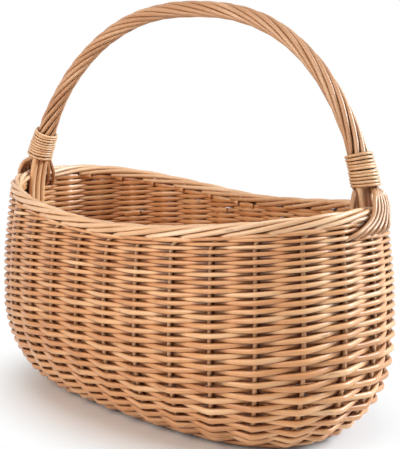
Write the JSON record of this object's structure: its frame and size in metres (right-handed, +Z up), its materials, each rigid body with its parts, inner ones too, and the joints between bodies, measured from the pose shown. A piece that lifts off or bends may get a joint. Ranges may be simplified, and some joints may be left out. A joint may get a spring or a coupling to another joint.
{
  "type": "willow hand basket",
  "caption": "Oval hand basket of peeled willow, woven on upright stakes with a rolled rim, and with a high fixed bow handle that is roped and bound at both feet.",
  "frame": {"origin": "middle of the underside", "axes": "+X along the length of the body towards one end of the rim, +Z up, +Y across"},
  "size_m": [0.464, 0.2638, 0.4057],
  "materials": {
    "stake_willow": "peeled willow rod, smooth, satin, thin dry varnish",
    "siding_willow": "peeled willow rod, smooth, satin, thin dry varnish",
    "base_willow": "peeled willow rod, smooth, satin, thin dry varnish",
    "bow_willow": "peeled willow rod, smooth, satin, thin dry varnish",
    "rope_willow": "peeled willow rod, smooth, satin, thin dry varnish",
    "binding_willow": "peeled willow rod, smooth, satin, thin dry varnish"
  },
  "bodies": {
    "root": {"stake_01": "stake_willow", "stake_02": "stake_willow", "stake_03": "stake_willow", "stake_04": "stake_willow", "stake_05": "stake_willow", "stake_06": "stake_willow", "stake_07": "stake_willow", "stake_08": "stake_willow", "stake_09": "stake_willow", "stake_10": "stake_willow", "stake_11": "stake_willow", "stake_12": "stake_willow", "stake_13": "stake_willow", "stake_14": "stake_willow", "stake_15": "stake_willow", "stake_16": "stake_willow", "stake_17": "stake_willow", "stake_18": "stake_willow", "stake_19": "stake_willow", "stake_20": "stake_willow", "stake_21": "stake_willow", "stake_22": "stake_willow", "stake_23": "stake_willow", "stake_24": "stake_willow", "stake_25": "stake_willow", "stake_26": "stake_willow", "stake_27": "stake_willow", "stake_28": "stake_willow", "siding_course_01": "siding_willow", "siding_course_02": "siding_willow", "siding_course_03": "siding_willow", "siding_course_04": "siding_willow", "siding_course_05": "siding_willow", "siding_course_06": "siding_willow", "siding_course_07": "siding_willow", "siding_course_08": "siding_willow", "siding_course_09": "siding_willow", "siding_course_10": "siding_willow", "siding_course_11": "siding_willow", "siding_course_12": "siding_willow", "siding_course_13": "siding_willow", "siding_course_14": "siding_willow", "base_long_stick_1": "base_willow", "base_long_stick_2": "base_willow", "base_long_stick_3": "base_willow", "base_short_stick_1": "base_willow", "base_short_stick_2": "base_willow", "base_short_stick_3": "base_willow", "base_short_stick_4": "base_willow", "base_short_stick_5": "base_willow", "base_weave": "base_willow", "bow_rod_1": "bow_willow", "bow_rod_2": "bow_willow", "bow_rod_3": "bow_willow", "rope_hank_1": "rope_willow", "rope_hank_2": "rope_willow", "rope_hank_3": "rope_willow", "rope_hank_4": "rope_willow", "binding_near": "binding_willow", "binding_far": "binding_willow"}
  },
  "joints": []
}
